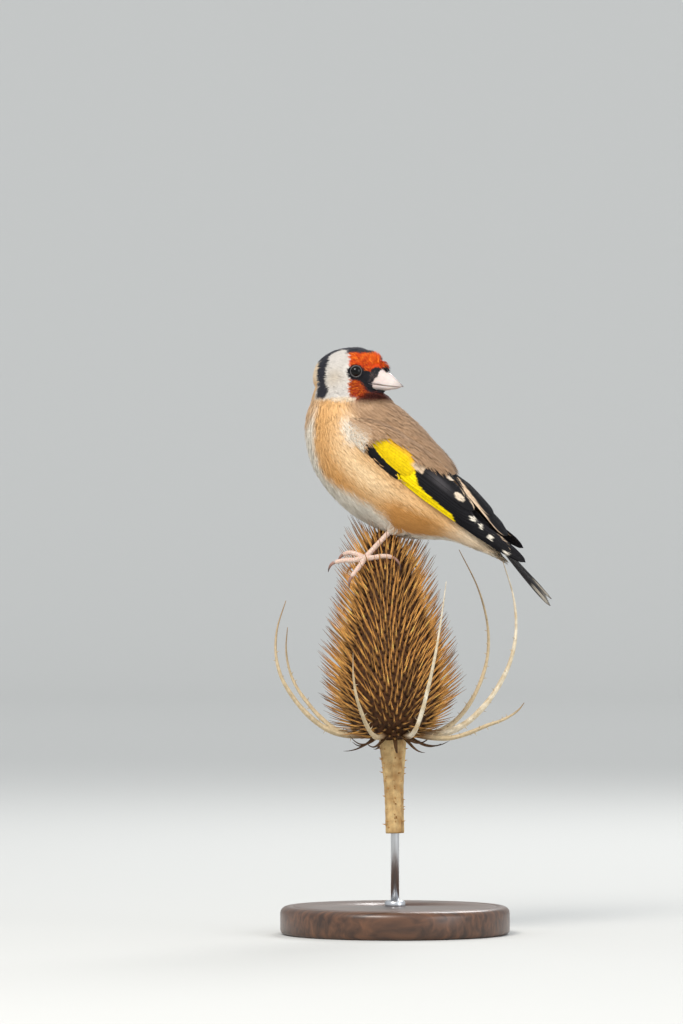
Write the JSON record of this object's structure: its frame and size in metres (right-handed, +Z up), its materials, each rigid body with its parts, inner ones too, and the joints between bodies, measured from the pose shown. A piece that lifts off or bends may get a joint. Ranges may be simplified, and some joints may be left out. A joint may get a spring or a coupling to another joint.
{
  "type": "european goldfinch",
  "caption": "Life-size museum-style still model of a european goldfinch, perched on a cut teasel head and looking back over its shoulder, on a round display stand.",
  "frame": {"origin": "centre of the round base's underside, on the floor", "axes": "+Z up; -Y towards the viewer of the picture; +X to the viewer's right, the side that the tail and the bill point to"},
  "size_m": [0.0987, 0.082, 0.2097],
  "materials": {
    "head_feathers": "soft, matt, short feathers",
    "body_feathers": "soft, matt, loose feathers",
    "wing_feathers": "smooth, faintly glossy flight feathers",
    "tail_feathers": "smooth, faintly glossy flight feathers",
    "bill": "smooth horn, satin",
    "eye": "wet, glossy",
    "leg_skin": "scaled skin, satin",
    "claw": "horn, satin",
    "teasel": "dry, brittle, matt",
    "bract": "dry, brittle, matt",
    "stem": "dry, ridged, matt",
    "rod": "brushed",
    "base": "dark stained, satin"
  },
  "bodies": {
    "root": {"bill_lower": "bill", "bill_upper": "bill", "claw_left_hallux": "claw", "claw_left_inner": "claw", "claw_left_middle": "claw", "claw_left_outer": "claw", "claw_right_hallux": "claw", "claw_right_inner": "claw", "claw_right_middle": "claw", "claw_right_outer": "claw", "eye_left": "eye", "eye_right": "eye", "foot_left": "leg_skin", "foot_right": "leg_skin", "head": "head_feathers", "neck": "body_feathers", "perch_bract_1": "bract", "perch_bract_2": "bract", "perch_bract_3": "bract", "perch_bract_4": "bract", "perch_bract_5": "bract", "perch_bract_6": "bract", "perch_bract_7": "bract", "perch_bract_8": "bract", "perch_stem": "stem", "perch_teasel": "teasel", "stand_base": "base", "stand_rod": "rod", "tail": "tail_feathers", "tarsus_left": "leg_skin", "tarsus_right": "leg_skin", "thigh_left": "body_feathers", "thigh_right": "body_feathers", "trunk": "body_feathers", "wing_left": "wing_feathers", "wing_right": "wing_feathers"}
  },
  "joints": []
}
